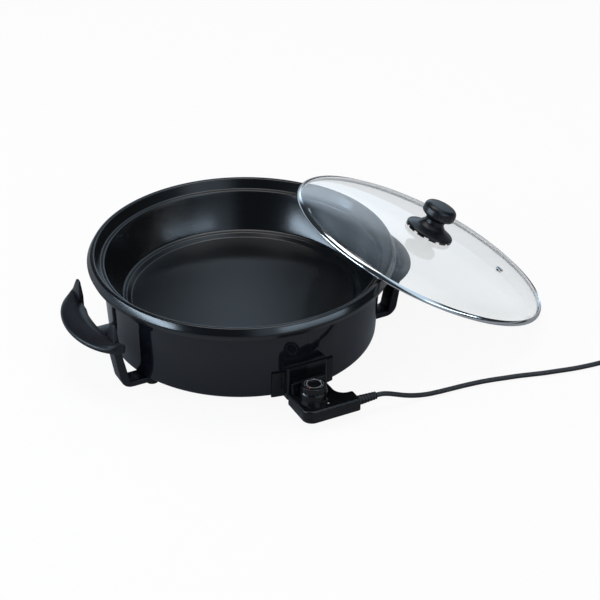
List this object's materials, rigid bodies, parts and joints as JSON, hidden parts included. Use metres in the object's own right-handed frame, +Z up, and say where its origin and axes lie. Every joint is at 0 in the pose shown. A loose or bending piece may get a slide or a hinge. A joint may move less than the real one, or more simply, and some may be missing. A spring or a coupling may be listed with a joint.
{
  "type": "electric pizza pan",
  "caption": "Round electric pizza pan with deep glossy skirt, side handles on feet, plug-in thermostat control with dial and cord, and a loose domed glass lid.",
  "frame": {"origin": "on the table, under the pan's axis", "axes": "+X towards the right handle and the leaning lid, -Y towards the control, +Z up"},
  "size_m": [0.8275, 0.5075, 0.175],
  "materials": {
    "nonstick": "satin non-stick coating on aluminium",
    "gloss_black": "glossy black enamel",
    "zinc_steel": "zinc-coated sheet",
    "steel": "plain",
    "element_sheath": "heat-darkened sheath",
    "aluminium": "cast",
    "ceramic": "fired insulator",
    "black_plastic": "glossy black moulding",
    "bakelite": "satin black phenolic moulding",
    "rubber": "matt black",
    "glass": "clear tempered glass",
    "bright_steel": "polished stainless steel",
    "brass": "plain",
    "cord_rubber": "satin black sheath"
  },
  "bodies": {
    "cooker": {"pan": "nonstick", "outer_skirt": "gloss_black", "base_plate": "zinc_steel", "centre_stud": "steel", "base_nut": "steel", "heating_element": "element_sheath", "element_clips": "zinc_steel", "sensor_block": "aluminium", "terminal_pins": "steel", "terminal_insulator": "ceramic", "socket_guard": "black_plastic", "guard_screws": "steel", "left_handle": "bakelite", "right_handle": "bakelite", "feet": "rubber", "foot_screws": "steel", "foot_nuts": "steel"},
    "lid": {"lid_glass": "glass", "lid_band": "bright_steel", "lid_vent": "bright_steel", "knob_cap": "bakelite", "knob_collar": "bakelite", "knob_screw": "steel", "knob_washer": "rubber"},
    "control": {"control_lower_shell": "black_plastic", "control_upper_shell": "black_plastic", "control_nose": "bakelite", "contact_sockets": "brass", "probe": "bright_steel", "thermostat_switch": "ceramic", "control_screws": "steel", "strain_relief": "cord_rubber", "cord": "cord_rubber", "cord_coil": "cord_rubber", "cord_tie": "black_plastic", "plug_lead": "cord_rubber", "plug_body": "cord_rubber", "plug_pins": "bright_steel"},
    "dial": {"dial": "black_plastic", "dial_spindle": "steel"}
  },
  "joints": [
    {"name": "lid_lift", "type": "slide", "parent": "cooker", "child": "lid", "axis": [0, 0, 1], "range_m": [0, 0.2]},
    {"name": "control_pull", "type": "slide", "parent": "cooker", "child": "control", "axis": [0, -1, 0], "range_m": [0, 0.1]},
    {"name": "dial_turn", "type": "hinge", "parent": "control", "child": "dial", "pos_m": [-0.006, -0.2265, 0.045], "axis": [0, 0, -1], "range_deg": [0, 270]}
  ]
}
